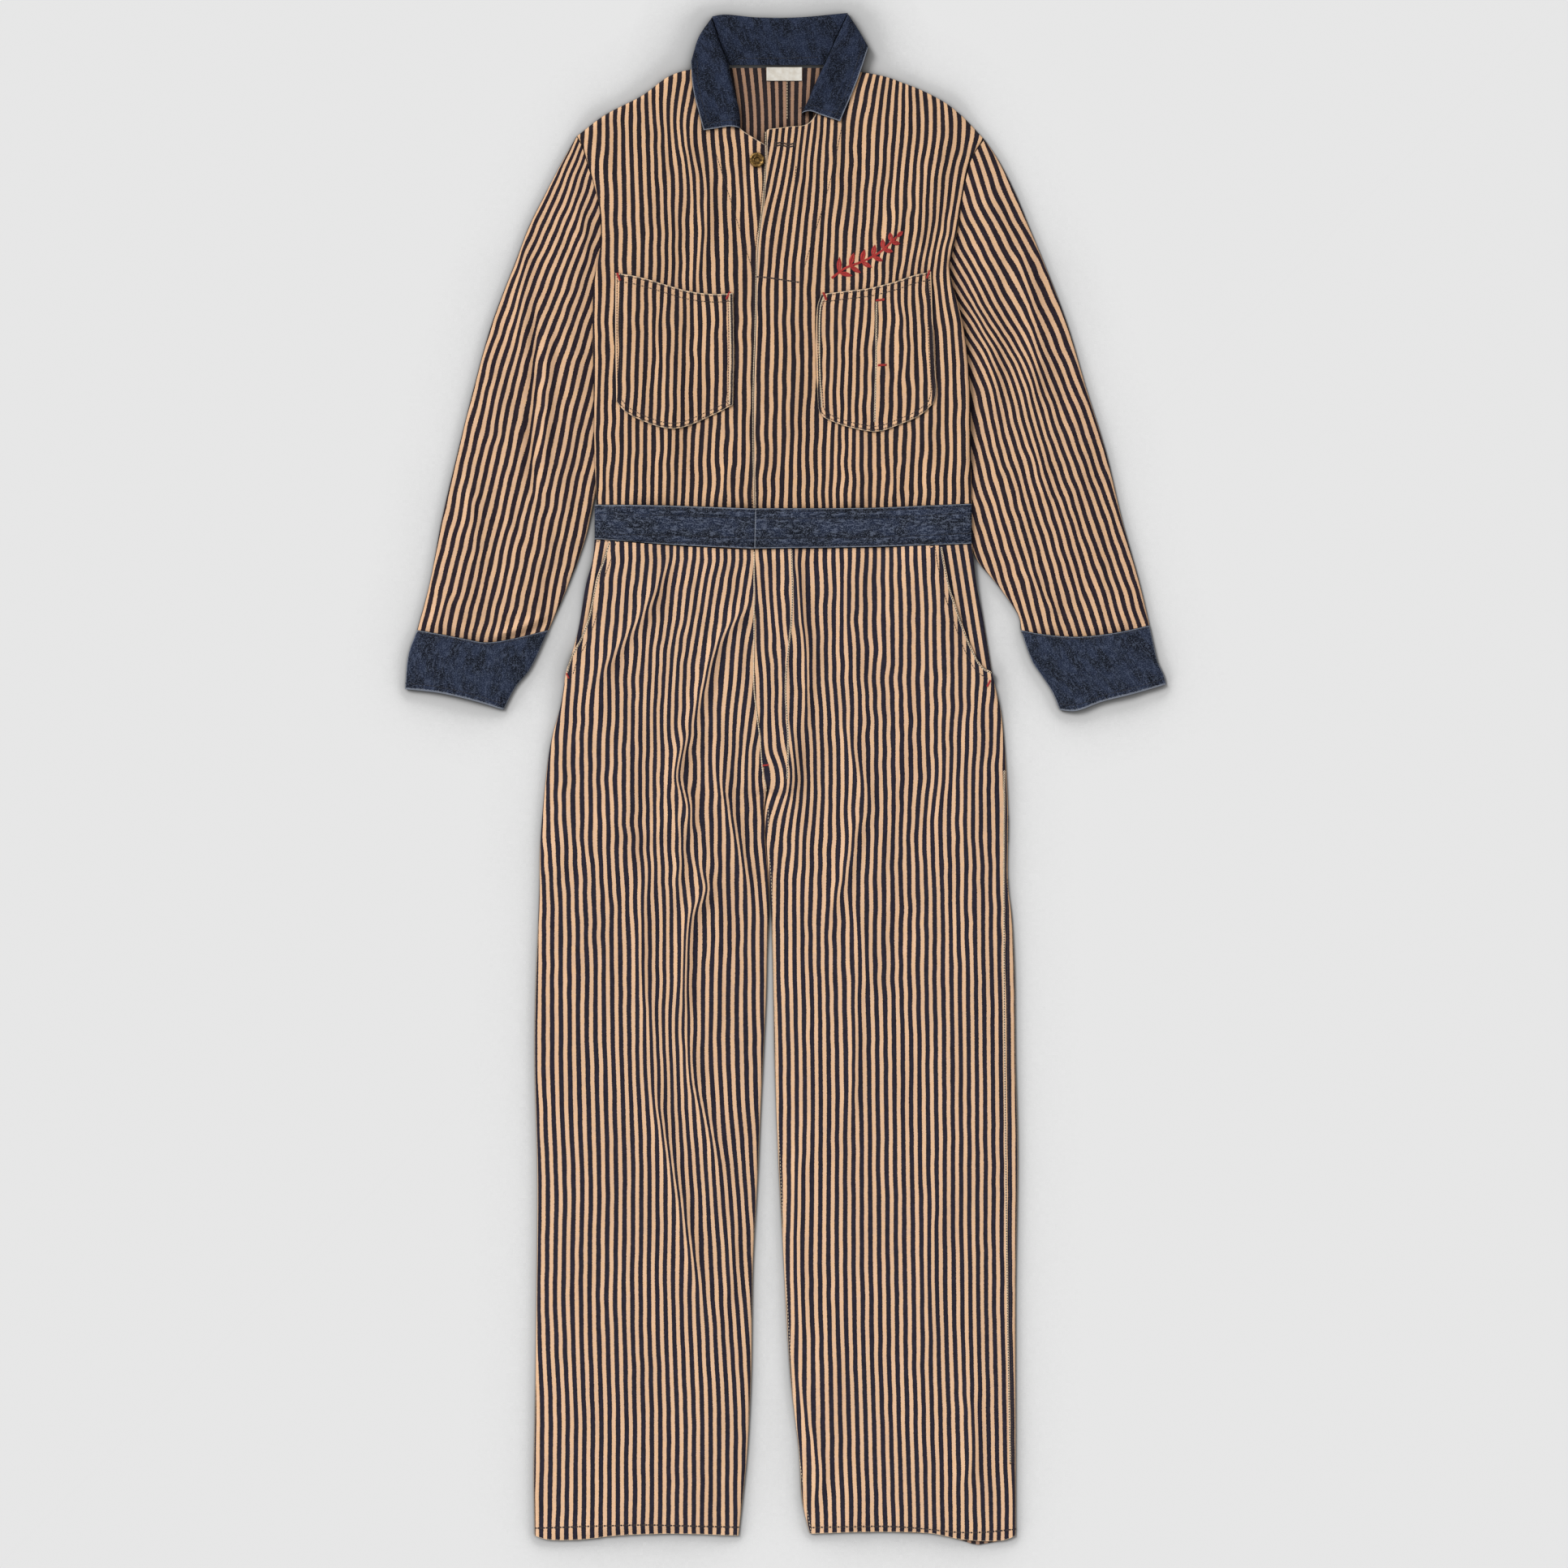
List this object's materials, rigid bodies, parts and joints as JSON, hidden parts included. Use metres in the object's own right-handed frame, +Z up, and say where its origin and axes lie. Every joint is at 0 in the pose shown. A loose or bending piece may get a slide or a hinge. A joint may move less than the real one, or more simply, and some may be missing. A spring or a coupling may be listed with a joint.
{
  "type": "work coverall",
  "caption": "Long-sleeved striped work coverall laid flat, with denim collar, waistband and cuffs, patch pockets on the chest, slanted hip pockets and a lapped front.",
  "frame": {"origin": "middle of the garment's outline in plan, on the surface that it lies on", "axes": "+X towards the wearer's left side, +Y from the hems to the collar, +Z up from the surface, out of the garment's front"},
  "size_m": [0.7966, 1.6034, 0.0095],
  "materials": {
    "striped_twill": "matt cotton twill, tan with near-black warp stripes about 9 mm apart",
    "dark_denim": "dark indigo denim with pale flecks, worn pale on its edges",
    "label_tape": "bare white woven tape",
    "button_brass": "dull antique brass"
  },
  "bodies": {
    "root": {"back_bodice_right": "striped_twill", "back_bodice_left": "striped_twill", "front_bodice_right": "striped_twill", "front_bodice_left": "striped_twill", "waistband_back": "dark_denim", "waistband_front_right": "dark_denim", "waistband_front_left": "dark_denim", "back_leg_right": "striped_twill", "back_leg_left": "striped_twill", "front_leg_right": "striped_twill", "front_leg_left": "striped_twill", "hip_pocket_facing_right": "striped_twill", "hip_pocket_facing_left": "striped_twill", "sleeve_right": "striped_twill", "sleeve_left": "striped_twill", "cuff_right": "dark_denim", "cuff_left": "dark_denim", "chest_pocket_right": "striped_twill", "chest_pocket_left": "striped_twill", "collar": "dark_denim", "neck_label": "label_tape", "button": "button_brass"}
  },
  "joints": []
}
